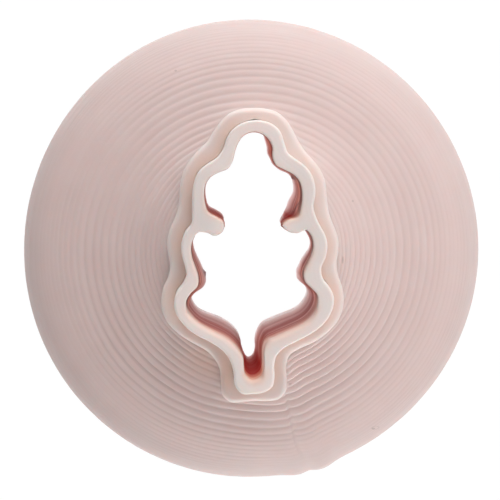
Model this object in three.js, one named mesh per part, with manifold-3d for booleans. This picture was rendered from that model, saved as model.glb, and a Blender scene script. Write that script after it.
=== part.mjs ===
// Leaf-shaped pastry cutter with a round domed grip.
//
// Three printed pieces nest in one another:
//   dome_grip    round domed body with a flat resting face and a leaf-shaped socket
//   leaf_collar  stiffening sleeve that is pressed into the socket
//   leaf_blade   cutting sleeve that stands inside the collar and lifts out
//
// Millimetres, +Z up. The origin is on the dome's axis, in the flat resting face.
// The leaf's stem points to -Y.

import * as THREE from 'three';
import { mergeVertices } from 'three/addons/utils/BufferGeometryUtils.js';
import Module from 'manifold-3d';

// ---------------------------------------------------------------- heights
const BLADE_TOP = 19.0;      // cutting rim above the resting face
const COLLAR_TOP = 15.0;     // flat top of the collar
const LIP = 2.0;             // ledge at the bottom of the socket
const SEAT_GAP = 0.1;        // play under the sleeves where they stand on the ledge
const FIT_GAP = 0.3;         // all-round play between nested walls

// ---------------------------------------------------------------- dome
const DOME_R = 24.5;         // largest radius, along the lower wall
const FOOT_CHAMFER = 0.5;    // broken edge around the resting face
const CORE_R = 1.5;          // inner radius of the turned blank, inside the leaf opening
const DOME_SEGMENTS = 80;

// Crown of the dome, radius and height: round shoulder, shallow cone, then a
// hollow flare that rises towards the collar.
const CROWN = [
  [24.50, 6.00], [24.42, 6.75], [24.16, 7.50], [23.72, 8.22], [23.08, 8.86],
  [22.25, 9.40], [21.47, 9.80], [20.55, 10.20], [19.42, 10.60], [18.00, 11.00],
  [16.30, 11.40], [14.67, 11.80], [13.25, 12.20], [11.97, 12.60], [10.90, 13.00],
  [9.85, 13.40], [8.95, 13.80], [8.10, 14.10], [6.50, 14.30],
];

// ---------------------------------------------------------------- leaf
// Control points, counter-clockwise as seen from above, of three nested closed
// curves: the cut leaf itself, the outside of the cutting sleeve and the
// outside of the collar.
const LEAF_EDGE = [
  [-0.20, 12.45], [-1.05, 12.07], [-1.60, 11.31], [-1.92, 10.44], [-2.16, 9.52],
  [-2.66, 8.74], [-3.52, 8.39], [-4.33, 7.94], [-4.85, 7.17], [-4.96, 6.23],
  [-4.87, 5.30], [-4.56, 4.42], [-3.75, 3.94], [-3.01, 3.38], [-3.12, 2.49],
  [-3.91, 2.03], [-4.78, 2.36], [-5.66, 2.34], [-6.15, 1.54], [-6.32, 0.62],
  [-6.19, -0.31], [-5.88, -1.19], [-5.61, -2.09], [-5.65, -3.02], [-6.29, -3.69],
  [-6.79, -4.48], [-6.77, -5.40], [-6.22, -6.16], [-5.52, -6.79], [-4.72, -7.27],
  [-3.88, -7.70], [-3.05, -8.14], [-2.26, -8.65], [-1.59, -9.31], [-1.11, -10.11],
  [-1.02, -11.05], [-0.87, -11.97], [-0.18, -12.57], [0.65, -12.25], [1.00, -11.39],
  [1.01, -10.45], [1.02, -9.51], [1.35, -8.65], [2.16, -8.19], [3.02, -7.81],
  [3.88, -7.42], [4.72, -7.00], [5.50, -6.47], [6.10, -5.75], [6.43, -4.88],
  [6.39, -3.95], [5.79, -3.25], [5.14, -2.57], [5.04, -1.65], [5.40, -0.79],
  [5.78, 0.07], [5.98, 0.99], [5.82, 1.91], [5.23, 2.62], [4.40, 2.31],
  [3.49, 2.43], [2.86, 3.09], [3.53, 3.65], [4.42, 3.93], [4.71, 4.80],
  [4.84, 5.73], [4.81, 6.67], [4.53, 7.56], [3.88, 8.24], [3.04, 8.67],
  [2.23, 9.11], [1.85, 9.95], [1.85, 10.89], [1.45, 11.72], [0.71, 12.31],
];
const BLADE_OUTER = [
  [-0.20, 13.59], [-1.25, 13.27], [-2.15, 12.66], [-2.73, 11.74], [-3.09, 10.70],
  [-3.74, 9.84], [-4.66, 9.24], [-5.49, 8.53], [-5.97, 7.55], [-6.17, 6.48],
  [-6.20, 5.38], [-6.21, 4.29], [-6.28, 3.24], [-6.93, 2.37], [-7.27, 1.33],
  [-7.26, 0.24], [-6.98, -0.82], [-6.79, -1.90], [-7.18, -2.88], [-7.82, -3.76],
  [-8.03, -4.82], [-7.79, -5.88], [-7.17, -6.79], [-6.39, -7.55], [-5.47, -8.14],
  [-4.49, -8.64], [-3.56, -9.22], [-2.77, -9.97], [-2.26, -10.94], [-2.04, -12.01],
  [-1.90, -13.09], [-1.22, -13.92], [-0.14, -13.97], [0.94, -13.81], [1.85, -13.24],
  [2.09, -12.20], [2.04, -11.10], [2.31, -10.05], [3.08, -9.28], [4.04, -8.76],
  [5.02, -8.27], [5.98, -7.73], [6.84, -7.06], [7.53, -6.21], [7.97, -5.21],
  [8.04, -4.13], [7.61, -3.13], [6.94, -2.27], [6.77, -1.22], [7.20, -0.21],
  [7.39, 0.87], [7.23, 1.94], [6.72, 2.91], [6.24, 3.89], [5.97, 4.95],
  [6.15, 6.03], [6.12, 7.13], [5.79, 8.16], [5.13, 9.03], [4.25, 9.69],
  [3.41, 10.35], [3.03, 11.37], [2.67, 12.41], [1.91, 13.18], [0.89, 13.55],
];
const COLLAR_OUTER = [
  [-0.11, 14.89], [-1.35, 14.76], [-2.49, 14.29], [-3.38, 13.42], [-4.10, 12.41],
  [-4.79, 11.36], [-5.68, 10.50], [-6.48, 9.53], [-7.11, 8.46], [-7.43, 7.26],
  [-7.54, 6.02], [-7.65, 4.77], [-8.04, 3.59], [-8.55, 2.46], [-8.80, 1.23],
  [-8.73, -0.01], [-8.52, -1.24], [-8.74, -2.46], [-9.24, -3.60], [-9.44, -4.82],
  [-9.30, -6.06], [-8.77, -7.18], [-7.93, -8.10], [-6.93, -8.84], [-5.85, -9.47],
  [-4.77, -10.10], [-3.92, -11.00], [-3.41, -12.13], [-3.33, -13.37], [-3.19, -14.61],
  [-2.32, -15.42], [-1.07, -15.41], [0.17, -15.32], [1.42, -15.34], [2.64, -15.15],
  [3.43, -14.24], [3.50, -13.00], [3.44, -11.75], [3.79, -10.57], [4.81, -9.88],
  [5.96, -9.39], [7.03, -8.76], [7.98, -7.95], [8.78, -7.00], [9.25, -5.84],
  [9.38, -4.61], [9.18, -3.38], [8.77, -2.20], [8.63, -0.97], [8.81, 0.27],
  [8.77, 1.51], [8.38, 2.69], [7.91, 3.85], [7.69, 5.08], [7.56, 6.32],
  [7.38, 7.55], [6.87, 8.68], [6.09, 9.66], [5.27, 10.59], [4.60, 11.64],
  [4.03, 12.75], [3.32, 13.78], [2.34, 14.53], [1.14, 14.84],
];
const EDGE_POINTS = 150;
const BLADE_POINTS = 130;
const COLLAR_POINTS = 128;

// ---------------------------------------------------------------- colours
const GRIP_COLOUR = 0xd9c0b8;
const COLLAR_COLOUR = 0xe0c8bf;
const BLADE_COLOUR = 0xe2d8d0;

// ---------------------------------------------------------------- helpers
const wasm = await Module();
wasm.setup();

// Smooth closed curve through the control points.
function closedCurve(control, count) {
  const curve = new THREE.CatmullRomCurve3(
    control.map(([x, y]) => new THREE.Vector3(x, y, 0)), true, 'centripetal');
  return curve.getSpacedPoints(count).slice(0, count).map((p) => new THREE.Vector2(p.x, p.y));
}

// The same curve moved outwards by a small distance, each point along the
// mean normal of its two sides.
function grow(points, distance) {
  const n = points.length;
  return points.map((p, i) => {
    const a = points[(i + n - 1) % n];
    const b = points[(i + 1) % n];
    const t = new THREE.Vector2().subVectors(b, a).normalize();
    return new THREE.Vector2(p.x + t.y * distance, p.y - t.x * distance);
  });
}

// Closed geometry with shared vertices and no zero-area faces.
function closed(geometry) {
  const g = geometry.clone();
  g.deleteAttribute('normal');
  g.deleteAttribute('uv');
  const m = mergeVertices(g, 1e-4);
  const idx = m.index.array;
  const kept = [];
  for (let i = 0; i < idx.length; i += 3) {
    const [a, b, c] = [idx[i], idx[i + 1], idx[i + 2]];
    if (a !== b && b !== c && c !== a) kept.push(a, b, c);
  }
  m.setIndex(kept);
  return m;
}

function solid(geometry) {
  const m = closed(geometry);
  return new wasm.Manifold(new wasm.Mesh({
    numProp: 3,
    vertProperties: new Float32Array(m.attributes.position.array),
    triVerts: new Uint32Array(m.index.array),
  }));
}

function geometryOf(manifold) {
  const mesh = manifold.getMesh();
  const g = new THREE.BufferGeometry();
  g.setAttribute('position', new THREE.BufferAttribute(new Float32Array(mesh.vertProperties), 3));
  g.setIndex(new THREE.BufferAttribute(new Uint32Array(mesh.triVerts), 1));
  g.computeVertexNormals();
  return g;
}

// Upright prism of an outline, with an optional inner outline left open.
function prism(outline, inner, zLow, zHigh) {
  const shape = new THREE.Shape(outline);
  if (inner) shape.holes.push(new THREE.Path(inner.slice().reverse()));
  const g = new THREE.ExtrudeGeometry(shape, { depth: zHigh - zLow, steps: 1, bevelEnabled: false });
  g.translate(0, 0, zLow);
  return g;
}

function piece(name, geometry, color, roughness) {
  const mesh = new THREE.Mesh(geometry, new THREE.MeshStandardMaterial({ color, roughness, metalness: 0 }));
  mesh.name = name;
  return mesh;
}

// ---------------------------------------------------------------- outlines
const leafEdge = closedCurve(LEAF_EDGE, EDGE_POINTS);
const bladeOuter = closedCurve(BLADE_OUTER, BLADE_POINTS);
const collarInner = grow(bladeOuter, FIT_GAP);
const collarOuter = closedCurve(COLLAR_OUTER, COLLAR_POINTS);
const socket = grow(collarOuter, FIT_GAP);

// ---------------------------------------------------------------- dome grip
// Turned blank, a closed ring profile, then the socket and the leaf opening.
const crownTop = CROWN[CROWN.length - 1][1];
const profile = [
  [CORE_R, 0],
  [DOME_R - FOOT_CHAMFER, 0],
  [DOME_R, FOOT_CHAMFER],
  ...CROWN,
  [CORE_R, crownTop],
  [CORE_R, 0],
].map(([r, z]) => new THREE.Vector2(r, z));
const blank = new THREE.LatheGeometry(profile, DOME_SEGMENTS);
blank.rotateX(Math.PI / 2);

const domeSolid = solid(blank)
  .subtract(solid(prism(socket, null, LIP, crownTop + 2)))
  .subtract(solid(prism(leafEdge, null, -1, LIP + 1)));

// ---------------------------------------------------------------- assembly
const cutter = new THREE.Group();
cutter.name = 'leaf_cutter';

cutter.add(piece('dome_grip', geometryOf(domeSolid), GRIP_COLOUR, 0.55));
cutter.add(piece('leaf_collar',
  closed(prism(collarOuter, collarInner, LIP + SEAT_GAP, COLLAR_TOP)), COLLAR_COLOUR, 0.5));
cutter.add(piece('leaf_blade',
  closed(prism(bladeOuter, leafEdge, LIP + SEAT_GAP, BLADE_TOP)), BLADE_COLOUR, 0.5));

export default cutter;
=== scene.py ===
import math

import bmesh
import bpy
import numpy as np
from mathutils import Matrix, Vector
from mathutils.geometry import delaunay_2d_cdt


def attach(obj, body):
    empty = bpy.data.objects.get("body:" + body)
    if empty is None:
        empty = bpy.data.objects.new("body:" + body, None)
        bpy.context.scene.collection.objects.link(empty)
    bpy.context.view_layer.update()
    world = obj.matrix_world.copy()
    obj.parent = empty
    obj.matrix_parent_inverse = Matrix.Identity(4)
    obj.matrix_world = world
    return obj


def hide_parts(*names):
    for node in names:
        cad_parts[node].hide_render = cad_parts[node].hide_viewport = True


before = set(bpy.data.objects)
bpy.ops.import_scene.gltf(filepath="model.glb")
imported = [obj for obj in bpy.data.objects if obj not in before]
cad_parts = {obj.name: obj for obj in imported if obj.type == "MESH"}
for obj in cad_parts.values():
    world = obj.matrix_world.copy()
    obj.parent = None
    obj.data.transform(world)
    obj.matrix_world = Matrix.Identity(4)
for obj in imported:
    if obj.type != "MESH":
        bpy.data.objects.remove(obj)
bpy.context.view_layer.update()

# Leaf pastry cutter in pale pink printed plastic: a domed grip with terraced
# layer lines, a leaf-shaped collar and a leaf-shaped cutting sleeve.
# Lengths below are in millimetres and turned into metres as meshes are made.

MM = 1e-3
rng = np.random.default_rng(20)

# ------------------------------------------------------------------ sizes
BLADE_TOP = 19.0
COLLAR_TOP = 15.0
LIP = 2.0
SEAT = 0.1
LAYER = 0.2
FOOT = 0.5
TERRACE = 0.70
DOME_R = 24.5

CROWN = [
    (24.50, 6.00), (24.42, 6.75), (24.16, 7.50), (23.72, 8.22), (23.08, 8.86),
    (22.25, 9.40), (21.47, 9.80), (20.55, 10.20), (19.42, 10.60), (18.00, 11.00),
    (16.30, 11.40), (14.67, 11.80), (13.25, 12.20), (11.97, 12.60), (10.90, 13.00),
    (9.85, 13.40), (8.95, 13.80), (8.10, 14.10), (6.50, 14.30),
]
LEAF_EDGE = [
    (-0.20, 12.45), (-1.05, 12.07), (-1.60, 11.31), (-1.92, 10.44), (-2.16, 9.52),
    (-2.66, 8.74), (-3.52, 8.39), (-4.33, 7.94), (-4.85, 7.17), (-4.96, 6.23),
    (-4.87, 5.30), (-4.56, 4.42), (-3.75, 3.94), (-3.01, 3.38), (-3.12, 2.49),
    (-3.91, 2.03), (-4.78, 2.36), (-5.66, 2.34), (-6.15, 1.54), (-6.32, 0.62),
    (-6.19, -0.31), (-5.88, -1.19), (-5.61, -2.09), (-5.65, -3.02), (-6.29, -3.69),
    (-6.79, -4.48), (-6.77, -5.40), (-6.22, -6.16), (-5.52, -6.79), (-4.72, -7.27),
    (-3.88, -7.70), (-3.05, -8.14), (-2.26, -8.65), (-1.59, -9.31), (-1.11, -10.11),
    (-1.02, -11.05), (-0.87, -11.97), (-0.18, -12.57), (0.65, -12.25), (1.00, -11.39),
    (1.01, -10.45), (1.02, -9.51), (1.35, -8.65), (2.16, -8.19), (3.02, -7.81),
    (3.88, -7.42), (4.72, -7.00), (5.50, -6.47), (6.10, -5.75), (6.43, -4.88),
    (6.39, -3.95), (5.79, -3.25), (5.14, -2.57), (5.04, -1.65), (5.40, -0.79),
    (5.78, 0.07), (5.98, 0.99), (5.82, 1.91), (5.23, 2.62), (4.40, 2.31),
    (3.49, 2.43), (2.86, 3.09), (3.53, 3.65), (4.42, 3.93), (4.71, 4.80),
    (4.84, 5.73), (4.81, 6.67), (4.53, 7.56), (3.88, 8.24), (3.04, 8.67),
    (2.23, 9.11), (1.85, 9.95), (1.85, 10.89), (1.45, 11.72), (0.71, 12.31),
]
BLADE_OUTER = [
    (-0.20, 13.59), (-1.25, 13.27), (-2.15, 12.66), (-2.73, 11.74), (-3.09, 10.70),
    (-3.74, 9.84), (-4.66, 9.24), (-5.49, 8.53), (-5.97, 7.55), (-6.17, 6.48),
    (-6.20, 5.38), (-6.21, 4.29), (-6.28, 3.24), (-6.93, 2.37), (-7.27, 1.33),
    (-7.26, 0.24), (-6.98, -0.82), (-6.79, -1.90), (-7.18, -2.88), (-7.82, -3.76),
    (-8.03, -4.82), (-7.79, -5.88), (-7.17, -6.79), (-6.39, -7.55), (-5.47, -8.14),
    (-4.49, -8.64), (-3.56, -9.22), (-2.77, -9.97), (-2.26, -10.94), (-2.04, -12.01),
    (-1.90, -13.09), (-1.22, -13.92), (-0.14, -13.97), (0.94, -13.81), (1.85, -13.24),
    (2.09, -12.20), (2.04, -11.10), (2.31, -10.05), (3.08, -9.28), (4.04, -8.76),
    (5.02, -8.27), (5.98, -7.73), (6.84, -7.06), (7.53, -6.21), (7.97, -5.21),
    (8.04, -4.13), (7.61, -3.13), (6.94, -2.27), (6.77, -1.22), (7.20, -0.21),
    (7.39, 0.87), (7.23, 1.94), (6.72, 2.91), (6.24, 3.89), (5.97, 4.95),
    (6.15, 6.03), (6.12, 7.13), (5.79, 8.16), (5.13, 9.03), (4.25, 9.69),
    (3.41, 10.35), (3.03, 11.37), (2.67, 12.41), (1.91, 13.18), (0.89, 13.55),
]
COLLAR_OUTER = [
    (-0.11, 14.89), (-1.35, 14.76), (-2.49, 14.29), (-3.38, 13.42), (-4.10, 12.41),
    (-4.79, 11.36), (-5.68, 10.50), (-6.48, 9.53), (-7.11, 8.46), (-7.43, 7.26),
    (-7.54, 6.02), (-7.65, 4.77), (-8.04, 3.59), (-8.55, 2.46), (-8.80, 1.23),
    (-8.73, -0.01), (-8.52, -1.24), (-8.74, -2.46), (-9.24, -3.60), (-9.44, -4.82),
    (-9.30, -6.06), (-8.77, -7.18), (-7.93, -8.10), (-6.93, -8.84), (-5.85, -9.47),
    (-4.77, -10.10), (-3.92, -11.00), (-3.41, -12.13), (-3.33, -13.37), (-3.19, -14.61),
    (-2.32, -15.42), (-1.07, -15.41), (0.17, -15.32), (1.42, -15.34), (2.64, -15.15),
    (3.43, -14.24), (3.50, -13.00), (3.44, -11.75), (3.79, -10.57), (4.81, -9.88),
    (5.96, -9.39), (7.03, -8.76), (7.98, -7.95), (8.78, -7.00), (9.25, -5.84),
    (9.38, -4.61), (9.18, -3.38), (8.77, -2.20), (8.63, -0.97), (8.81, 0.27),
    (8.77, 1.51), (8.38, 2.69), (7.91, 3.85), (7.69, 5.08), (7.56, 6.32),
    (7.38, 7.55), (6.87, 8.68), (6.09, 9.66), (5.27, 10.59), (4.60, 11.64),
    (4.03, 12.75), (3.32, 13.78), (2.34, 14.53), (1.14, 14.84),
]


# ------------------------------------------------------------------ curves
def resample(points, count):
    closed = np.vstack([points, points[:1]])
    run = np.r_[0.0, np.cumsum(np.hypot(*np.diff(closed, axis=0).T))]
    at = np.linspace(0.0, run[-1], count, endpoint=False)
    return np.c_[np.interp(at, run, closed[:, 0]), np.interp(at, run, closed[:, 1])]


def closed_curve(control, count):
    """Smooth closed curve through the control points, evenly spaced."""
    c = np.array(control, float)
    m = len(c)
    rows = []
    for i in range(m):
        p = [c[i - 1], c[i], c[(i + 1) % m], c[(i + 2) % m]]
        t = [0.0]
        for a, b in zip(p, p[1:]):
            t.append(t[-1] + math.sqrt(np.hypot(*(b - a))))
        u = np.linspace(t[1], t[2], 24, endpoint=False)[:, None]
        a1 = (t[1] - u) / (t[1] - t[0]) * p[0] + (u - t[0]) / (t[1] - t[0]) * p[1]
        a2 = (t[2] - u) / (t[2] - t[1]) * p[1] + (u - t[1]) / (t[2] - t[1]) * p[2]
        a3 = (t[3] - u) / (t[3] - t[2]) * p[2] + (u - t[2]) / (t[3] - t[2]) * p[3]
        b1 = (t[2] - u) / (t[2] - t[0]) * a1 + (u - t[0]) / (t[2] - t[0]) * a2
        b2 = (t[3] - u) / (t[3] - t[1]) * a2 + (u - t[1]) / (t[3] - t[1]) * a3
        rows.append((t[2] - u) / (t[2] - t[1]) * b1 + (u - t[1]) / (t[2] - t[1]) * b2)
    return resample(np.vstack(rows), count)


def normals(points):
    """Outward unit normals of a counter-clockwise closed curve."""
    t = np.roll(points, -1, 0) - np.roll(points, 1, 0)
    t /= np.hypot(*t.T)[:, None]
    return np.c_[t[:, 1], -t[:, 0]]


def nearest(points, curve, block=4000):
    """Distance from each point to a densely sampled curve."""
    out = np.empty(len(points))
    for i in range(0, len(points), block):
        q = points[i : i + block]
        d2 = (
            (q ** 2).sum(1)[:, None] + (curve ** 2).sum(1)[None] - 2.0 * q @ curve.T
        )
        out[i : i + block] = np.sqrt(np.maximum(d2.min(1), 0.0))
    return out


def inside(points, polygon):
    """True for the points inside a closed polygon."""
    x, y = points[:, 0][:, None], points[:, 1][:, None]
    x0, y0 = polygon.T
    x1, y1 = np.roll(polygon, -1, 0).T
    cross = ((y0 > y) != (y1 > y)) & (
        x < (x1 - x0) * (y - y0) / np.where(y1 == y0, 1e-12, y1 - y0) + x0
    )
    return cross.sum(1) % 2 == 1


def wave(values, lengths, size, seed):
    """Smooth seeded wander along a closed run of values in turns (0 to 1)."""
    r = np.random.default_rng(seed)
    out = np.zeros_like(values)
    for n in lengths:
        out += r.normal() * np.sin(2 * math.pi * (n * values + r.random()))
    return out * size / math.sqrt(len(lengths))


# ------------------------------------------------------------------ meshes
def make_object(name, verts, faces, sharp=42.0):
    mesh = bpy.data.meshes.new(name)
    mesh.from_pydata([tuple(v) for v in np.asarray(verts, float) * MM], [], faces)
    mesh.validate()
    bm = bmesh.new()
    bm.from_mesh(mesh)
    bmesh.ops.recalc_face_normals(bm, faces=bm.faces)
    bm.to_mesh(mesh)
    bm.free()
    mesh.polygons.foreach_set("use_smooth", [True] * len(mesh.polygons))
    mesh.set_sharp_from_angle(angle=math.radians(sharp))
    mesh.update()
    obj = bpy.data.objects.new(name, mesh)
    bpy.context.scene.collection.objects.link(obj)
    return obj


def strip(first, second, count):
    """Quads between two closed loops of vertices that start at these numbers."""
    return [
        (first + i, first + (i + 1) % count, second + (i + 1) % count, second + i)
        for i in range(count)
    ]


def ring_faces(flat, outer, inner):
    """Triangles that fill the flat ring between two loops, the loops' points
    being the first ones in flat."""
    n, m = len(outer), len(inner)
    edges = [(i, (i + 1) % n) for i in range(n)]
    edges += [(n + i, n + (i + 1) % m) for i in range(m)]
    made, _, faces, _, _, _ = delaunay_2d_cdt(
        [Vector(p) for p in flat], edges, [], 0, 1e-7
    )
    assert len(made) == len(flat), "the outlines of a cap cross"
    mid = np.array([np.mean([flat[i] for i in f], axis=0) for f in faces])
    keep = inside(mid, outer) & ~inside(mid, inner)
    return [tuple(f) for f, k in zip(faces, keep) if k]


def sleeve(name, outer, inner, outer_levels, inner_levels, top, low, edge, grooves, shift=None):
    """Closed upright ring. The levels are (height, offset) pairs from the foot
    up, each offset a number or one per point, outward on the outer wall and
    into the opening on the inner wall. The top is flat with its outer and inner
    edges rounded by edge, the inner one by a number or one per point, and grooves lists the distances from the outer edge of
    the shallow lines between print paths. shift moves the inner wall's points at
    a height. Returns the piece, the numbers of its inner wall's vertices as rows
    of one level each, and for every vertex its distance on the top from the inner
    edge, or a large number off the top."""
    n_out, n_in = normals(outer), normals(inner)
    n, m = len(outer), len(inner)
    e_out = edge[0]
    e_in = np.broadcast_to(np.asarray(edge[1], float), (m,))
    verts, faces = [], []
    starts_out, starts_in = [], []
    for z, d in outer_levels:
        starts_out.append(sum(len(v) for v in verts))
        xy = outer + n_out * np.broadcast_to(np.asarray(d, float), (n,))[:, None]
        verts.append(np.c_[xy, np.full(n, z)])
    for z, d in inner_levels:
        starts_in.append(sum(len(v) for v in verts))
        xy = inner - n_in * np.broadcast_to(np.asarray(d, float), (m,))[:, None]
        if shift is not None:
            xy = xy + shift(z)
        verts.append(np.c_[xy, np.full(m, z)])
    if np.ptp(e_in) > 0:
        starts_in.append(sum(len(v) for v in verts))
        verts.append(np.c_[inner, top - e_in])
    for a, b in zip(starts_out, starts_out[1:]):
        faces += strip(a, b, n)
    for a, b in zip(starts_in, starts_in[1:]):
        faces += strip(b, a, m)
    # top
    rim_out = verts[len(starts_out) - 1][:, :2]
    rim_in = verts[-1][:, :2]
    fine_out, fine_in = resample(rim_out, 2400), resample(rim_in, 2400)

    def inner_edge(q):
        out = np.empty(len(q))
        for i in range(0, len(q), 4000):
            out[i : i + 4000] = e_in[((q[i : i + 4000, None] - rim_in[None]) ** 2).sum(2).argmin(1)]
        return out

    extra = []
    for d in (0.22, 0.5, 0.85, 1.25):
        extra.append(resample(rim_out - normals(rim_out) * d * e_out, n))
        extra.append(resample(rim_in + normals(rim_in) * (d * e_in)[:, None], m))
    lo, hi = rim_out.min(0), rim_out.max(0)
    step = 0.15
    gx, gy = np.meshgrid(
        np.arange(lo[0], hi[0], step), np.arange(lo[1], hi[1], step * 0.866)
    )
    gx[1::2] += step / 2
    grid = np.c_[gx.ravel(), gy.ravel()]
    grid = grid[inside(grid, rim_out) & ~inside(grid, rim_in)]
    grid = grid[(nearest(grid, fine_out) > 1.5 * e_out) & (nearest(grid, fine_in) > 1.5 * inner_edge(grid))]
    points = np.vstack(extra + [grid])
    ok = inside(points, rim_out) & ~inside(points, rim_in)
    d_out, d_in = nearest(points, fine_out), nearest(points, fine_in)
    ok &= (d_out > 0.15 * e_out) & (d_in > 0.15 * inner_edge(points))
    points, d_out, d_in = points[ok], d_out[ok], d_in[ok]
    _, first = np.unique(np.round(points / 0.012).astype(int), axis=0, return_index=True)
    first.sort()
    points, d_out, d_in = points[first], d_out[first], d_in[first]

    def drop(d, e):
        u = np.clip(1.0 - d / e, 0.0, 1.0)
        return e * (1.0 - np.sqrt(np.maximum(1.0 - u * u, 0.0)))

    z = top - drop(d_out, e_out) - drop(d_in, inner_edge(points))
    for at in grooves:
        z -= 0.012 * np.exp(-(((d_out - at) / 0.05) ** 2))
    z += 0.006 * np.sin(points[:, 0] * 1.7 + 0.6) * np.sin(points[:, 1] * 1.3)
    base = sum(len(v) for v in verts)
    verts.append(np.c_[points, z])
    flat = np.vstack([rim_out, rim_in, points])
    where = np.r_[
        starts_out[-1] + np.arange(n), starts_in[-1] + np.arange(m), base + np.arange(len(points))
    ]
    faces += [tuple(int(where[i]) for i in f) for f in ring_faces(flat, rim_out, rim_in)]
    # foot
    foot_out, foot_in = verts[0][:, :2], verts[len(starts_out)][:, :2]
    flat = np.vstack([foot_out, foot_in])
    where = np.r_[starts_out[0] + np.arange(n), starts_in[0] + np.arange(m)]
    faces += [tuple(int(where[i]) for i in f) for f in ring_faces(flat, foot_out, foot_in)]
    verts = np.vstack(verts)
    wall = np.array(starts_in)[:, None] + np.arange(m)[None]
    gap = np.full(len(verts), 99.0)
    gap[base : base + len(points)] = d_in
    gap[wall[-1]] = 0.0
    gap[starts_out[-1] + np.arange(n)] = nearest(rim_out, fine_in)
    return make_object(name, verts, faces), wall, gap


def beads(low, top, edge, depth, wander, start=0.0):
    """Wall levels with one rounded bead for each printed layer. wander gives
    each layer its own small offset."""
    out = [(low, -depth)]
    z = low
    k = 0
    while z < top - edge - 1e-6:
        nxt = min(z + LAYER, top - edge)
        shift = wander[k % len(wander)]
        out.append((z + 0.5 * (nxt - z), shift))
        out.append((nxt, -depth + 0.5 * (shift + wander[(k + 1) % len(wander)])))
        z = nxt
        k += 1
    out[-1] = (out[-1][0], 0.0)
    return out


# ------------------------------------------------------------------ outlines
edge_curve = closed_curve(LEAF_EDGE, 300)
blade_curve = closed_curve(BLADE_OUTER, 250)
collar_curve = closed_curve(COLLAR_OUTER, 400)


# Deviations of the opening's wall towards its far mouth: centre (x, y), shift
# (x, y) and reach, full at the mouth and gone near the cutting rim.
FLARE = [
    (-6.30, -3.80, 1.20, -0.75, 1.50), (5.60, -0.20, 0.74, -0.28, 1.30), (6.10, 0.90, 0.34, -0.12, 0.90),
    (5.05, -1.75, 0.30, -0.36, 0.80), (5.90, -3.75, -0.80, -0.30, 0.95), (4.75, 4.80, -0.44, 0.00, 0.80),
    (4.42, 3.95, -0.40, -0.02, 0.55), (3.50, 3.62, 0.06, -0.30, 0.50), (2.88, 3.10, 0.46, -0.30, 0.60),
    (1.02, -10.70, -0.50, 0.00, 1.50), (0.70, -12.10, -0.10, 0.18, 0.70), (-0.85, -11.80, 0.22, 0.10, 0.80),
    (0.90, 12.10, 0.30, 0.34, 0.75), (2.05, 9.50, 0.24, 0.10, 0.70), (3.40, 8.50, -0.10, -0.17, 0.70),
    (-5.50, -6.70, -0.16, -0.24, 1.70), (5.00, -6.80, 0.06, -0.12, 1.40),
]


def flare(z):
    """Shift of each point of the opening's edge at a height."""
    g = min(max((17.5 - z) / 16.0, 0.0), 1.0)
    out = np.zeros_like(edge_curve)
    for x, y, dx, dy, reach in FLARE:
        d2 = (edge_curve[:, 0] - x) ** 2 + (edge_curve[:, 1] - y) ** 2
        out += np.exp(-d2 / reach ** 2)[:, None] * np.array([dx, dy])
    return out * g


# ------------------------------------------------------------------ cavity
def smooth(v, lo, hi):
    u = np.clip((v - lo) / (hi - lo), 0.0, 1.0)
    return u * u * (3 - 2 * u)


# walls of the opening that face sideways take the shaded colour ramp with its painted dark band and a stronger painted
# glow; the stem's left wall glows less
EDGE_FACING = -normals(edge_curve)[:, 1]
EDGE_SIDE = 1.0 - smooth(EDGE_FACING, 0.05, 0.6)
EDGE_LEFT = smooth(-edge_curve[:, 0], 3.5, 4.5) * smooth(edge_curve[:, 1], -7.0, -6.0) * smooth(-edge_curve[:, 1], -2.5, -1.5)
EDGE_GLOW = (0.40 + 0.60 * EDGE_SIDE) * (1.0 - 0.45 * EDGE_LEFT)
EDGE_ROUND = 0.13 + 0.10 * smooth(EDGE_FACING, 0.0, 0.5)
EDGE_ROUND += 0.23 * smooth(EDGE_FACING, 0.2, 0.7) * smooth(-edge_curve[:, 1], 4.0, 6.5)
EDGE_RISE = 0.15 * smooth(-edge_curve[:, 1], 8.2, 9.2) * smooth(edge_curve[:, 1], -12.0, -11.2) * (edge_curve[:, 0] > 0)
EDGE_RISE += 0.06 * EDGE_LEFT
EDGE_SIDE = EDGE_SIDE * (1.0 - 0.85 * smooth(-edge_curve[:, 1], 3.6, 4.8) * (edge_curve[:, 0] > 0))
# the stem's pit and the two notch corners, where the wall's colour goes deep red: painted shade and painted red glow
EDGE_PIT = smooth(-edge_curve[:, 1], 10.6, 12.0)
for at_x, at_y, size in ((3.85, 3.75, 1.0), (-3.75, 3.90, 0.5)):
    EDGE_PIT = np.maximum(
        EDGE_PIT, size * np.exp(-((edge_curve[:, 0] - at_x) ** 2 + (edge_curve[:, 1] - at_y) ** 2) / 0.72 ** 2)
    )


def store(obj, **values):
    for key, v in values.items():
        obj.data.attributes.new(key, "FLOAT", "POINT").data.foreach_set("value", np.asarray(v, float))


def positions(obj):
    co = np.empty(len(obj.data.vertices) * 3)
    obj.data.vertices.foreach_get("co", co)
    return co.reshape(-1, 3) / MM


# ------------------------------------------------------------------ dome grip
def crown_height(r):
    """Smooth height of the crown over its radius."""
    pts = np.array(CROWN[::-1], float)
    x, y = pts[:, 0], pts[:, 1]
    h = np.diff(x)
    s = np.diff(y) / h
    t = np.r_[s[0], (s[:-1] * h[1:] + s[1:] * h[:-1]) / (h[1:] + h[:-1]), s[-1]]
    i = np.clip(np.searchsorted(x, r) - 1, 0, len(h) - 1)
    u = (r - x[i]) / h[i]
    return (
        (2 * u ** 3 - 3 * u ** 2 + 1) * y[i]
        + (u ** 3 - 2 * u ** 2 + u) * h[i] * t[i]
        + (-2 * u ** 3 + 3 * u ** 2) * y[i + 1]
        + (u ** 3 - u ** 2) * h[i] * t[i + 1]
    )


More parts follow.
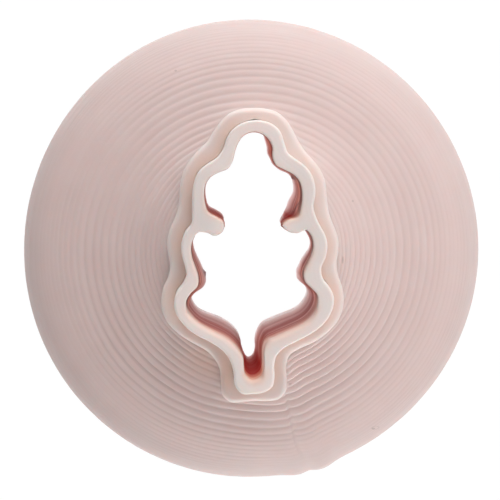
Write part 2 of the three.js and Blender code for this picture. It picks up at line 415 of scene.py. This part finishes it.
def seam(phi, r):
    """Outward swelling of each layer where its bead starts and ends. phi is in
    degrees clockwise from +Y. On the crown the bead overlaps in one long step,
    on the shoulder in two short lobes with a notch between them."""
    u = np.clip((r - 20.2) / 3.6, 0.0, 1.0)
    u = u * u * (3 - 2 * u)
    d = phi - (167.1 - 2.0 * u)
    k = 1.0 / (1.0 + np.exp(-np.clip(d / 0.22, -40, 40)))
    crown = 0.42 * np.exp(-((d / 12.0) ** 2)) * k
    crown += 0.32 * np.exp(-(((d + 3.3) / 4.2) ** 2)) * (1 - k)
    crown -= 0.07 * np.exp(-(((d + 0.25) / 0.5) ** 2))
    k = 1.0 / (1.0 + np.exp(-np.clip(d / 0.5, -40, 40)))
    shoulder = 0.345 * np.exp(-(((d - 3.0) / 3.6) ** 2)) * k
    shoulder += 0.44 * np.exp(-(((d + 3.0) / 3.6) ** 2)) * (1 - k)
    return crown * (1 - u) + shoulder * u


def drift(phi, r):
    """The dome is not quite round: slow wander of its shoulder and wall."""
    a = np.radians(phi)
    u = np.clip((r - 19.5) / 4.5, 0.0, 1.0)
    u = u * u * (3 - 2 * u)
    out = 0.069 + 0.073 * np.cos(2 * a) + 0.030 * np.sin(2 * a)
    out += 0.038 * np.cos(3 * a) - 0.065 * np.sin(3 * a)
    out += 0.085 * np.exp(-(((phi - 174.0) / 22.0) ** 2))
    out *= u
    out += np.clip((r - 9.0) / 4.0, 0.0, 1.0) * (-0.178 * np.cos(a) + 0.025 * np.sin(a))
    return out


def about(phi, at, width):
    d = (phi - at + 180.0) % 360.0 - 180.0
    return np.exp(-((d / width) ** 2))


def build_dome():
    phi = np.r_[np.linspace(0, 360, 264, endpoint=False), np.arange(152.0, 182.0, 0.5)]
    phi = np.unique(np.round(phi, 3))
    phi = phi[np.r_[True, np.diff(phi) > 0.18]]
    n = len(phi)
    turn = phi / 360.0
    sin, cos = np.sin(np.radians(phi)), np.cos(np.radians(phi))
    # height field on a polar grid, with a small swelling at the collar's foot
    radii = np.arange(5.0, 24.505, 0.02)
    px = (radii[None] * sin[:, None]).ravel()
    py = (radii[None] * cos[:, None]).ravel()
    xy = np.c_[px, py]
    fine = resample(collar_curve, 500)
    gap = nearest(xy, fine)
    gap[inside(xy, collar_curve)] = 0.0
    lift = 0.04 * np.exp(-((gap / 0.5) ** 2))
    field = (crown_height(np.tile(radii, n)) + lift).reshape(n, len(radii))
    # largest radius at which the field is still as high as the layer
    count = int(math.ceil(14.6 / LAYER))
    first = int(round(6.0 / LAYER))
    outline = np.full((count, n), DOME_R)
    for i in range(first, count):
        z = (i + 0.5) * LAYER + 0.03
        above = field >= z
        last = above.shape[1] - 1 - np.argmax(above[:, ::-1], axis=1)
        any_ = above.any(1)
        last = np.where(any_, last, 0)
        nxt = np.minimum(last + 1, len(radii) - 1)
        f0 = field[np.arange(n), last]
        f1 = field[np.arange(n), nxt]
        u = np.where(f0 > f1, np.clip((f0 - z) / np.maximum(f0 - f1, 1e-9), 0, 1), 0)
        outline[i] = np.where(any_, radii[last] + 0.02 * u, 5.2)
    for i in range(count):
        mid = outline[i].copy()
        add = seam(phi, mid) * np.clip((mid - 8.0) / 3.0, 0, 1) + drift(phi, mid)
        add += wave(turn, (2, 3, 5, 7), 0.018, 100 + i // 2)
        add += wave(turn, (9, 13, 21), 0.010, 300 + i)
        outline[i] = np.minimum(mid + add, DOME_R + 0.9)
    # lower wall
    widest = np.full(n, DOME_R)
    outline[:first] = (DOME_R + seam(phi, widest) + drift(phi, widest))[None]
    for i in range(first):
        outline[i] += wave(turn, (2, 3, 5, 8), 0.012, 500 + i)
    for i in range(1, count):
        outline[i] = np.minimum(outline[i], outline[i - 1] + (0.02 if i < first + 6 else -0.004))
    rings = []
    for i in range(first):
        r, z = outline[i], i * LAYER
        rings.append((r - max(0.0, FOOT - z) * 0.75 - 0.042, np.full(n, z)))
        rings.append((r - max(0.0, FOOT - z - 0.5 * LAYER) * 0.75, np.full(n, z + 0.5 * LAYER)))
    # each layer is a quarter-round bead: (share of the tread, share of the height)
    bead = ((0.0, 0.0), (0.05, 0.31), (0.18, 0.57), (0.42, 0.815), (0.75, 0.968))
    for i in range(first, count - 1):
        prev, r, nxt = outline[i - 1], outline[i], outline[i + 1]
        # clear terraces on the shallow crown, faint lines on the steep shoulder
        u = np.clip((r - 16.8) / 4.6, 0.0, 1.0)
        crisp = TERRACE * (1.0 + 0.34 * np.exp(-(((phi - 182.0) / 76.0) ** 4)))
        crisp = crisp * (1.0 - 0.38 * about(phi, 42.0, 32.0) - 0.06 * about(phi, 0.0, 22.0) + 0.14 * about(phi, 102.0, 24.0))
        crisp = np.minimum(crisp, 1.0)
        # the lines fade beside the stem's left flank
        crisp = crisp * (1.0 - 0.85 * np.exp(-(((r * sin + 4.9) / 1.9) ** 2) - ((r * cos + 13.2) / 2.7) ** 2))
        faint = 0.14 - 0.07 * about(phi, 20.0, 50.0) + 0.07 * about(phi, 180.0, 55.0)
        clear = crisp - (crisp - faint) * u * u * (3 - 2 * u)
        for part, t in bead:
            round_ = r - part * np.maximum(r - nxt, 0.0)
            sloped = np.where(t < 0.5, r + (prev - r) * (0.5 - t), r + (nxt - r) * (t - 0.5))
            rings.append((clear * round_ + (1 - clear) * sloped, np.full(n, (i + t) * LAYER)))
    m = len(rings)
    verts = np.empty((m * n + 2, 3))
    for k, (r, z) in enumerate(rings):
        verts[k * n : (k + 1) * n] = np.c_[r * sin, r * cos, z]
    verts[m * n] = (0, 0, 0)
    verts[m * n + 1] = (0, 0, rings[-1][1].max())
    faces = []
    for k in range(m - 1):
        faces += strip(k * n, (k + 1) * n, n)
    faces += [(m * n, (i + 1) % n, i) for i in range(n)]
    faces += [(m * n + 1, (m - 1) * n + i, (m - 1) * n + (i + 1) % n) for i in range(n)]
    blank = make_object("dome_blank", verts, faces)

    def cutter(name, curve, z0, z1):
        k = len(curve)
        v = np.vstack([np.c_[curve, np.full(k, z0)], np.c_[curve, np.full(k, z1)]])
        f = strip(0, k, k) + [tuple(range(k))[::-1], tuple(range(k, 2 * k))]
        return make_object(name, v, f)

    socket = cutter("socket", collar_curve - normals(collar_curve) * 0.02, LIP, 16.0)
    hole = cutter("hole", edge_curve + flare(1.0), -1.0, LIP + 0.5)
    for tool in (socket, hole):
        mod = blank.modifiers.new(tool.name, "BOOLEAN")
        mod.operation = "DIFFERENCE"
        mod.solver = "MANIFOLD"
        mod.object = tool
    graph = bpy.context.evaluated_depsgraph_get()
    mesh = bpy.data.meshes.new_from_object(blank.evaluated_get(graph))
    mesh.name = "dome_grip_skin"
    for o in (blank, socket, hole):
        bpy.data.objects.remove(o)
    mesh.polygons.foreach_set("use_smooth", [True] * len(mesh.polygons))
    mesh.set_sharp_from_angle(angle=math.radians(42))
    mesh.update()
    dome = bpy.data.objects.new("dome_grip_skin", mesh)
    bpy.context.scene.collection.objects.link(dome)
    return dome


dome = build_dome()
co = positions(dome)
mouth_edge = edge_curve + flare(1.0)
k = np.zeros(len(co), int)
on_wall = np.zeros(len(co))
low = np.where((co[:, 2] < LIP + 0.01) & (np.hypot(co[:, 0], co[:, 1]) < 16.0))[0]
d2 = ((co[low][:, None, :2] - mouth_edge[None]) ** 2).sum(2)
k[low] = d2.argmin(1)
on_wall[low] = np.sqrt(d2.min(1)) < 0.06
radius = np.hypot(co[:, 0], co[:, 1])
angle = np.degrees(np.arctan2(co[:, 0], co[:, 1])) % 360.0
# painted light per vertex: wall colours of the opening, warm shade beside the stem, shade on the steep outer ring and
# in the layer crevices
store(
    dome,
    wall=on_wall,
    deep=np.where(on_wall > 0, EDGE_PIT[k], 0.0),
    glow=np.where(on_wall > 0, EDGE_GLOW[k], 0.0),
    rise=np.where(on_wall > 0, EDGE_RISE[k], 0.0),
    side=np.where(on_wall > 0, EDGE_SIDE[k], 0.0),
    # painted warm shade on the grip beside the stem's left flank
    warm=np.exp(-(((co[:, 0] + 4.9) ** 2 + (co[:, 1] + 11.3) ** 2) / 2.2 ** 2)),
    # shoulder: painted shade darkening the grip's steep outer ring
    shoulder=smooth(radius, 21.4, 24.2),
    # painted shade in each layer's crevice, strongest towards the lower left
    groove=(1.0 - 0.75 * smooth(radius, 17.0, 21.5))
    * (0.55 + 0.45 * smooth(radius, 12.5, 15.5))
    * (0.06 + 0.20 * about(angle, 92.0, 26.0) + 0.42 * about(angle, 137.0, 22.0) + 0.88 * about(angle, 222.0, 26.0)),
)

# ------------------------------------------------------------------ collar
turn = np.linspace(0, 1, len(blade_curve), endpoint=False)
collar_in = blade_curve + normals(blade_curve) * 0.006
# a short open crevice at the leaf's tip
tip = np.exp(-(((collar_in[:, 0] - 0.15) / 0.62) ** 4)) * (collar_in[:, 1] > 12.5)
collar_in = collar_in + normals(blade_curve) * (0.11 * tip * (1.0 + 0.35 * np.sin(9.0 * collar_in[:, 0])))[:, None]
wander = rng.normal(0, 0.012, 80)
collar_outer_levels = [(LIP + SEAT, 0.0), (10.2, 0.0)] + beads(10.3, COLLAR_TOP, 0.50, 0.03, wander)
collar_inner_levels = [(LIP + SEAT, 0.0), (8.0, 0.0), (COLLAR_TOP - 0.04, 0.0)]
collar, _, gap = sleeve(
    "leaf_collar_skin", collar_curve, collar_in, collar_outer_levels, collar_inner_levels,
    COLLAR_TOP, LIP + SEAT, (0.50, 0.04), (0.66, 0.98),
)
zero = np.zeros(len(gap))
co = positions(collar)
store(
    collar, wall=zero, deep=zero, side=zero, shoulder=zero, groove=zero,
    # painted warm shade along the blade's foot
    warm=np.exp(-((gap / 0.95) ** 2))
    * (0.55 + 0.45 * np.maximum(smooth(-co[:, 1], -9.0, 4.0), smooth(-co[:, 0], 0.8, 2.6))),
    # painted warm shade on the collar beside the stem's left flank
    blush=np.exp(-(((co[:, 0] + 2.6) / 1.1) ** 2) - ((co[:, 1] + 11.8) / 2.6) ** 2),
)

# ------------------------------------------------------------------ blade
wander_out = np.clip(rng.normal(0, 0.010, 120), -0.02, 0.012) - 0.012
slow = np.convolve(rng.normal(0, 1, 140), np.hanning(9) / np.hanning(9).sum(), "same")
wander_in = 0.05 * slow[:120] + rng.normal(0, 0.014, 120)
blade, wall, gap = sleeve(
    "leaf_blade_skin", blade_curve, edge_curve,
    beads(LIP + SEAT, BLADE_TOP, 0.24, 0.03, wander_out),
    beads(LIP + SEAT, BLADE_TOP, 0.50, 0.03, wander_in),
    BLADE_TOP, LIP + SEAT, (0.24, EDGE_ROUND), (0.46, 0.84), flare,
)
co = positions(blade)
k = np.zeros(len(co), int)
top = np.where((gap < 1.0) & (co[:, 2] > BLADE_TOP - 0.6))[0]
for i in range(0, len(top), 3000):
    q = top[i : i + 3000]
    k[q] = ((co[q][:, None, :2] - edge_curve[None]) ** 2).sum(2).argmin(1)
# the painted red shade of the stem's wall fades out over the rim around its end
stem_end = np.exp(-((co[:, 0] / 1.3) ** 4)) * smooth(-co[:, 1], 11.0, 12.0)
on_wall = np.clip(1.0 - gap / (0.9 * EDGE_ROUND[k] + 0.40 * stem_end), 0.0, 1.0) ** 1.5 * smooth(EDGE_FACING[k], -0.1, 0.4)
on_wall[wall.ravel()] = 1.0
k[wall] = np.arange(wall.shape[1])[None]
# small shreds on the opening's wall: centre, how far they stand out, reach
# along the wall and in height
SHREDS = [
    (4.32, 7.78, 12.0, 0.30, 0.32, 0.80), (3.08, 2.86, 12.0, 0.16, 0.24, 0.50), (3.45, 2.38, 11.0, 0.12, 0.22, 0.60),
    (-3.10, 2.70, 12.0, 0.18, 0.24, 0.50), (-5.58, -2.60, 2.8, 0.26, 0.24, 0.80),
]
shred, out = np.zeros(len(co)), np.zeros(len(co))
rows = wall.ravel()
for x, y, z, stand, reach, tall in SHREDS:
    d2 = ((edge_curve[k[rows]] - (x, y)) ** 2).sum(1)
    g = np.exp(-d2 / reach ** 2 - ((co[rows, 2] - z) / tall) ** 2)
    shred[rows] = np.maximum(shred[rows], np.minimum(1.6 * np.sqrt(g), 1.0))
    out[rows] += stand * g
co[rows, :2] -= normals(edge_curve)[k[rows]] * out[rows, None]
blade.data.vertices.foreach_set("co", (co * MM).ravel())
blade.data.update()
store(
    blade,
    wall=on_wall,
    deep=np.where(on_wall > 0, EDGE_PIT[k], 0.0),
    glow=np.where(on_wall > 0, EDGE_GLOW[k], 0.0),
    rise=np.where(on_wall > 0, EDGE_RISE[k], 0.0),
    side=np.where(on_wall > 0, EDGE_SIDE[k], 0.0),
    # painted warm glow along the rim's inner edge
    warm=np.exp(-((gap / (0.42 + 0.24 * smooth(-co[:, 1], 6.4, 7.6) * (co[:, 0] > 0))) ** 2)) * (0.35 + 0.65 * smooth(EDGE_FACING[k], -0.1, 0.5)),
    # shoulder: painted shade darkening the rim's left and right sides
    shoulder=np.where(gap < 90.0, np.exp(-(((co[:, 1] - 5.0) / 5.0) ** 2)) * np.where(co[:, 0] < 0, 0.9, 0.5) * smooth(np.abs(co[:, 0]), 3.2, 4.8), 0.0),
    groove=np.zeros(len(co)),
    # painted shade: a dark line down a fold in the wall above the right notch; the shreds are darkened as well
    crease=np.where(
        (on_wall > 0) & (edge_curve[k, 0] > 4.0),
        np.maximum(
            np.exp(-(((edge_curve[k, 1] - 4.65 - 0.3 * (co[:, 2] - 12.5)) / 0.26) ** 2) - ((co[:, 2] - 12.5) / 2.4) ** 2), shred
        ),
        # and painted shade on the left side of the stem
        np.maximum(shred, 0.45 * on_wall * (edge_curve[k, 0] < -0.5) * smooth(-edge_curve[k, 1], 8.4, 9.6) * (1.0 - smooth(-edge_curve[k, 1], 11.2, 12.0))),
    ),
)


# ------------------------------------------------------------------ materials
# colours of the opening's wall by height: painted shade and painted red glow, lit on the lower walls, shaded with a
# dark band under the rim on the sideways walls, deep red in the pit
LOW_WALL = [
    (0.00, (0.86, 0.80, 0.79)), (0.12, (0.78, 0.66, 0.645)), (0.28, (0.66, 0.45, 0.43)),
    (0.43, (0.53, 0.255, 0.24)), (0.62, (0.43, 0.14, 0.125)), (0.80, (0.47, 0.20, 0.165)),
    (0.92, (0.58, 0.35, 0.285)), (1.00, (0.70, 0.53, 0.465)),
]
SIDE_WALL = [
    (0.00, (0.74, 0.60, 0.59)), (0.20, (0.67, 0.46, 0.45)), (0.40, (0.65, 0.295, 0.24)),
    (0.70, (0.68, 0.27, 0.19)), (0.81, (0.57, 0.205, 0.145)), (0.875, (0.17, 0.07, 0.055)),
    (0.96, (0.17, 0.08, 0.065)), (1.00, (0.72, 0.60, 0.55)),
]
PIT_WALL = [
    (0.00, (0.62, 0.39, 0.365)), (0.15, (0.42, 0.11, 0.10)), (0.35, (0.345, 0.020, 0.018)),
    (0.74, (0.36, 0.028, 0.023)), (0.87, (0.52, 0.18, 0.13)), (0.95, (0.68, 0.39, 0.30)),
    (1.00, (0.70, 0.50, 0.415)),
]
# small flaws of the crown: centre, half sizes, darkness, hollow
MARKS = [
    (9.35, -0.78, 0.09, 0.42, 0.40, False), (13.28, -19.14, 0.38, 0.18, 0.22, True), (13.06, -19.22, 0.20, 0.12, 0.40, False), (-7.98, 18.87, 0.14, 0.10, 0.35, False),
    (10.43, 5.29, 0.12, 0.12, 0.30, False), (3.99, -13.94, 0.16, 0.14, 0.30, False),
]


def plastic(name, colour, deep, roughness, sss, peach, shade=(0.91, 0.92, 0.925), marks=()):
    """Pale translucent printed plastic: faint clouding, layers that differ a
    little in tone, fine surface grain, painted warm shade near the joints and
    painted warm glow at the rim's inner edge, and painted shade and red glow
    going from pale mouth to dark red inside the opening."""
    mat = bpy.data.materials.new(name)
    mat.use_nodes = True
    tree = mat.node_tree
    tree.nodes.clear()
    new = tree.nodes.new
    link = tree.links.new

    def math_node(op, a, b=None, c=None):
        node = new("ShaderNodeMath")
        node.operation = op
        for i, v in enumerate((a, b, c)):
            if v is None:
                continue
            if isinstance(v, (int, float)):
                node.inputs[i].default_value = v
            else:
                link(v, node.inputs[i])
        return node.outputs[0]

    def ranged(v, lo, hi, to_lo=0.0, to_hi=1.0, soft=False):
        node = new("ShaderNodeMapRange")
        if soft:
            node.interpolation_type = "SMOOTHSTEP"
        link(v, node.inputs["Value"])
        node.inputs["From Min"].default_value = lo
        node.inputs["From Max"].default_value = hi
        node.inputs["To Min"].default_value = to_lo
        node.inputs["To Max"].default_value = to_hi
        return node.outputs[0]

    def mixed(fac, a, b, blend="MIX"):
        node = new("ShaderNodeMix")
        node.data_type = "RGBA"
        node.blend_type = blend
        link(fac, node.inputs["Factor"])
        for v, key in ((a, "A"), (b, "B")):
            socket = [i for i in node.inputs if i.name == key and i.type == "RGBA"][0]
            if isinstance(v, tuple):
                socket.default_value = (*v, 1.0)
            else:
                link(v, socket)
        return [o for o in node.outputs if o.type == "RGBA"][0]

    def stored(key):
        node = new("ShaderNodeAttribute")
        node.attribute_name = key
        return node.outputs["Fac"]

    def ramp(v, stops):
        node = new("ShaderNodeValToRGB")
        node.color_ramp.interpolation = "LINEAR"
        el = node.color_ramp.elements
        el[0].position, el[0].color = stops[0][0], (*stops[0][1], 1)
        el[1].position, el[1].color = stops[-1][0], (*stops[-1][1], 1)
        for at, c in stops[1:-1]:
            e = el.new(at)
            e.color = (*c, 1)
        link(v, node.inputs["Fac"])
        return node.outputs["Color"]

    out = new("ShaderNodeOutputMaterial")
    bsdf = new("ShaderNodeBsdfPrincipled")
    link(bsdf.outputs[0], out.inputs[0])
    bsdf.inputs["Subsurface Weight"].default_value = sss
    bsdf.inputs["Subsurface Radius"].default_value = (1.0, 0.38, 0.28)
    bsdf.inputs["Subsurface Scale"].default_value = 0.0012
    bsdf.inputs["IOR"].default_value = 1.46
    coord = new("ShaderNodeTexCoord").outputs["Object"]
    xyz = new("ShaderNodeSeparateXYZ")
    link(coord, xyz.inputs[0])
    # the flat underside keeps the plain colour
    facing = new("ShaderNodeSeparateXYZ")
    link(new("ShaderNodeNewGeometry").outputs["True Normal"], facing.inputs[0])
    upper = ranged(facing.outputs["Z"], -0.9, -0.5)

    def above(key):
        return math_node("MULTIPLY", stored(key), upper)

    # clouding
    cloud = new("ShaderNodeTexNoise")
    cloud.inputs["Scale"].default_value = 260.0
    cloud.inputs["Detail"].default_value = 3.0
    link(coord, cloud.inputs["Vector"])
    # tone of each layer
    layer = math_node("FLOOR", math_node("DIVIDE", xyz.outputs["Z"], LAYER * MM))
    tone = new("ShaderNodeTexWhiteNoise")
    tone.noise_dimensions = "1D"
    link(layer, tone.inputs["W"])
    blend = math_node("MULTIPLY_ADD", tone.outputs["Value"], 0.35, cloud.outputs["Fac"])
    base = mixed(ranged(blend, 0.3, 1.1), deep, colour)
    # painted warm shade near the joints and painted warm glow at the rim's inner edge
    base = mixed(stored("warm"), base, peach)
    # painted warm shade beside the stem's left flank
    base = mixed(stored("blush"), base, (0.93, 0.665, 0.57))
    # painted shade: the grip's steep outer ring and the rim's sides are darkened by the shade colour
    base = mixed(above("shoulder"), base, shade, "MULTIPLY")
    # painted shade along the crevice at each layer's foot
    part = math_node("FRACT", math_node("DIVIDE", xyz.outputs["Z"], LAYER * MM))
    hollow_line = math_node("MAXIMUM", ranged(part, 0.88, 1.0, soft=True), ranged(part, 0.0, 0.30, 1.0, 0.0, soft=True))
    base = mixed(math_node("MULTIPLY", above("groove"), hollow_line), base, (0.86, 0.84, 0.835), "MULTIPLY")
    # walls of the opening: the colour ramps paint their shade and the red light through the plastic by height, the
    # sideways walls as the shaded copy with a painted dark band under the rim, with streaks along the layers
    stretch = new("ShaderNodeVectorMath")
    stretch.operation = "MULTIPLY"
    link(coord, stretch.inputs[0])
    stretch.inputs[1].default_value = (60.0, 60.0, 640.0)
    streak = new("ShaderNodeTexNoise")
    streak.inputs["Scale"].default_value = 1.0
    streak.inputs["Detail"].default_value = 3.0
    link(stretch.outputs[0], streak.inputs["Vector"])
    height = math_node("DIVIDE", xyz.outputs["Z"], BLADE_TOP * MM)
    wavy = math_node("ADD", height, ranged(streak.outputs["Fac"], 0.3, 0.7, -0.05, 0.05))
    wavy = math_node("MULTIPLY_ADD", tone.outputs["Value"], 0.03, wavy)
    wavy = math_node("ADD", wavy, stored("rise"))
    wall = mixed(stored("side"), ramp(wavy, LOW_WALL), ramp(wavy, SIDE_WALL))
    inner = math_node("MULTIPLY", ranged(height, 0.18, 0.45, soft=True), ranged(wavy, 0.80, 0.95, 1.0, 0.0, soft=True))
    dark = math_node("MULTIPLY", inner, ranged(streak.outputs["Fac"], 0.60, 0.42, 0.0, 0.80, soft=True))
    pale = math_node("MULTIPLY", inner, ranged(streak.outputs["Fac"], 0.54, 0.70, 0.0, 0.50, soft=True))
    wall = mixed(dark, wall, (0.32, 0.07, 0.06))
    wall = mixed(pale, wall, (0.76, 0.47, 0.44))
    # painted deep red shade in the pit and the notch corners
    wall = mixed(stored("deep"), wall, ramp(wavy, PIT_WALL))
    # painted shade in the fold, on the shreds and on the stem's left wall
    wall = mixed(ranged(stored("crease"), 0.0, 1.0, 0.0, 0.92), wall, (0.17, 0.05, 0.045))
    for x, y, rx, ry, dark, hollow in marks:
        spot = new("ShaderNodeVectorMath")
        spot.operation = "SUBTRACT"
        link(coord, spot.inputs[0])
        spot.inputs[1].default_value = (x * MM, y * MM, 0.0)
        wide = new("ShaderNodeVectorMath")
        wide.operation = "MULTIPLY"
        link(spot.outputs[0], wide.inputs[0])
        wide.inputs[1].default_value = (1.0 / (rx * MM), 1.0 / (ry * MM), 0.0)
        size = new("ShaderNodeVectorMath")
        size.operation = "LENGTH"
        link(wide.outputs[0], size.inputs[0])
        far = size.outputs["Value"]
        if hollow:
            far = math_node("ADD", math_node("ABSOLUTE", math_node("SUBTRACT", far, 1.0)), 0.72)
        fac = ranged(far, 0.75, 1.15, dark, 0.0, soft=True)
        base = mixed(fac, base, (0.30, 0.21, 0.19))
    link(mixed(above("wall"), base, wall), bsdf.inputs["Base Color"])
    # painted glow: an emission in the wall's colour stands in for light that comes through the thin wall
    glow = new("ShaderNodeMix")
    glow.data_type = "RGBA"
    glow.blend_type = "MULTIPLY"
    glow.inputs["Factor"].default_value = 1.0
    sockets = [i for i in glow.inputs if i.type == "RGBA"]
    link(wall, sockets[0])
    link(stored("glow"), sockets[1])
    lit = math_node("MULTIPLY", above("wall"), ranged(height, 0.90, 0.975, 1.0, 0.0, soft=True))
    black = mixed(lit, (0.0, 0.0, 0.0), [o for o in glow.outputs if o.type == "RGBA"][0])
    link(black, bsdf.inputs["Emission Color"])
    bsdf.inputs["Emission Strength"].default_value = 0.29
    # grain
    grain = new("ShaderNodeTexNoise")
    grain.inputs["Scale"].default_value = 5200.0
    grain.inputs["Detail"].default_value = 2.0
    link(coord, grain.inputs["Vector"])
    across = math_node("MULTIPLY", math_node("ADD", xyz.outputs["X"], xyz.outputs["Y"]), 0.7071)
    flat = new("ShaderNodeCombineXYZ")
    link(xyz.outputs["X"], flat.inputs[0])
    link(xyz.outputs["Y"], flat.inputs[1])
    reach = new("ShaderNodeVectorMath")
    reach.operation = "LENGTH"
    link(flat.outputs[0], reach.inputs[0])
    loops = math_node("GREATER_THAN", reach.outputs["Value"], 22.6 * MM)
    path = math_node("ADD", math_node("MULTIPLY", loops, reach.outputs["Value"]),
                     math_node("MULTIPLY", math_node("SUBTRACT", 1.0, loops), across))
    lines = math_node("ABSOLUTE", math_node("SINE", math_node("MULTIPLY", path, math.pi / (0.45 * MM))))
    lines = math_node("MULTIPLY", lines, math_node("SUBTRACT", 1.0, upper))
    bump = new("ShaderNodeBump")
    bump.inputs["Strength"].default_value = 0.25
    bump.inputs["Distance"].default_value = 0.00002
    link(math_node("MULTIPLY_ADD", lines, 3.0, grain.outputs["Fac"]), bump.inputs["Height"])
    link(bump.outputs[0], bsdf.inputs["Normal"])
    rough = ranged(cloud.outputs["Fac"], 0.0, 1.0, roughness - 0.06, roughness + 0.06)
    link(math_node("MULTIPLY_ADD", stored("deep"), 0.35, rough), bsdf.inputs["Roughness"])
    return mat


grip_mat = plastic("grip_plastic_look", (0.727, 0.571, 0.545), (0.698, 0.534, 0.507), 0.5, 0.35, (0.735, 0.525, 0.465), shade=(0.895, 0.925, 0.93), marks=MARKS)
collar_mat = plastic("collar_plastic_look", (0.774, 0.684, 0.658), (0.743, 0.645, 0.616), 0.48, 0.35, (0.80, 0.585, 0.505))
blade_mat = plastic("blade_plastic_look", (0.815, 0.745, 0.715), (0.785, 0.705, 0.675), 0.46, 0.35, (0.84, 0.67, 0.60))

for obj, mat, node, body, slot in (
    (dome, grip_mat, "dome_grip", "grip", "grip_plastic"),
    (collar, collar_mat, "leaf_collar", "grip", "collar_plastic"),
    (blade, blade_mat, "leaf_blade", "blade", "blade_plastic"),
):
    obj.data.materials.clear()
    obj.data.materials.append(mat)
    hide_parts(node)
    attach(obj, body)


# ------------------------------------------------------------------ stage
def flat_floor():
    mesh = bpy.data.meshes.new("floor")
    s = 1.5
    mesh.from_pydata([(-s, -s, -2e-5), (s, -s, -2e-5), (s, s, -2e-5), (-s, s, -2e-5)], [], [(0, 1, 2, 3)])
    obj = bpy.data.objects.new("floor", mesh)
    bpy.context.scene.collection.objects.link(obj)
    mat = bpy.data.materials.new("floor_white")
    mat.use_nodes = True
    bsdf = mat.node_tree.nodes["Principled BSDF"]
    bsdf.inputs["Base Color"].default_value = (0.02, 0.02, 0.02, 1)
    bsdf.inputs["Roughness"].default_value = 0.9
    bsdf.inputs["Specular IOR Level"].default_value = 0.0
    bsdf.inputs["Emission Color"].default_value = (1, 1, 1, 1)
    bsdf.inputs["Emission Strength"].default_value = 1.0
    mesh.materials.append(mat)
    return obj


flat_floor()

world = bpy.data.worlds.new("studio")
bpy.context.scene.world = world
world.use_nodes = True
world.node_tree.nodes["Background"].inputs[0].default_value = (1.0, 1.0, 1.0, 1)
world.node_tree.nodes["Background"].inputs[1].default_value = 0.2


def area_light(name, phi, elevation, distance, size, power, colour=(1, 1, 1)):
    """Soft square light aimed at the cutter. phi is clockwise from +Y."""
    a, e = math.radians(phi), math.radians(elevation)
    data = bpy.data.lights.new(name, "AREA")
    data.shape = "SQUARE"
    data.size = size
    data.energy = power
    data.color = colour
    obj = bpy.data.objects.new(name, data)
    bpy.context.scene.collection.objects.link(obj)
    place = Vector((math.sin(a) * math.cos(e), math.cos(a) * math.cos(e), math.sin(e))) * distance
    obj.location = place
    obj.rotation_euler = (-place).to_track_quat("-Z", "Y").to_euler()
    return obj


# soft panels: a broad bank from the leaf's tip round to the right, a low pair
# on the stem side
for name, phi, elevation, power in (
    ("tip_low", 0, 12, 0.55), ("tip", 0, 30, 0.78), ("tip_right", 30, 31, 0.65), ("right_high", 60, 30, 0.42),
    ("right", 105, 25, 0.34), ("stem_right", 150, 12, 0.63), ("stem_low", 180, 12, 1.09), ("stem", 180, 30, 0.33),
    ("tip_left", 330, 30, 0.48),
):
    area_light(name, phi, elevation, 0.50, 0.30, power)

cam_data = bpy.data.cameras.new("camera")
cam_data.sensor_width = 36.0
cam_data.lens = 36.0 * 1700.0 / 500.0
cam_data.clip_start = 0.01
cam = bpy.data.objects.new("camera", cam_data)
bpy.context.scene.collection.objects.link(cam)
eye = Vector((-4.3, 11.5, 189.0)) * MM
look = (Vector((-0.4, 0.62, 19.0)) * MM - eye).normalized()
right = look.cross(Vector((0, 1, 0))).normalized()
up = right.cross(look).normalized()
cam.matrix_world = Matrix((
    (right.x, up.x, -look.x, eye.x),
    (right.y, up.y, -look.y, eye.y),
    (right.z, up.z, -look.z, eye.z),
    (0, 0, 0, 1),
))
bpy.context.scene.camera = cam

view = bpy.context.scene.view_settings
view.view_transform = "Standard"
view.look = "None"
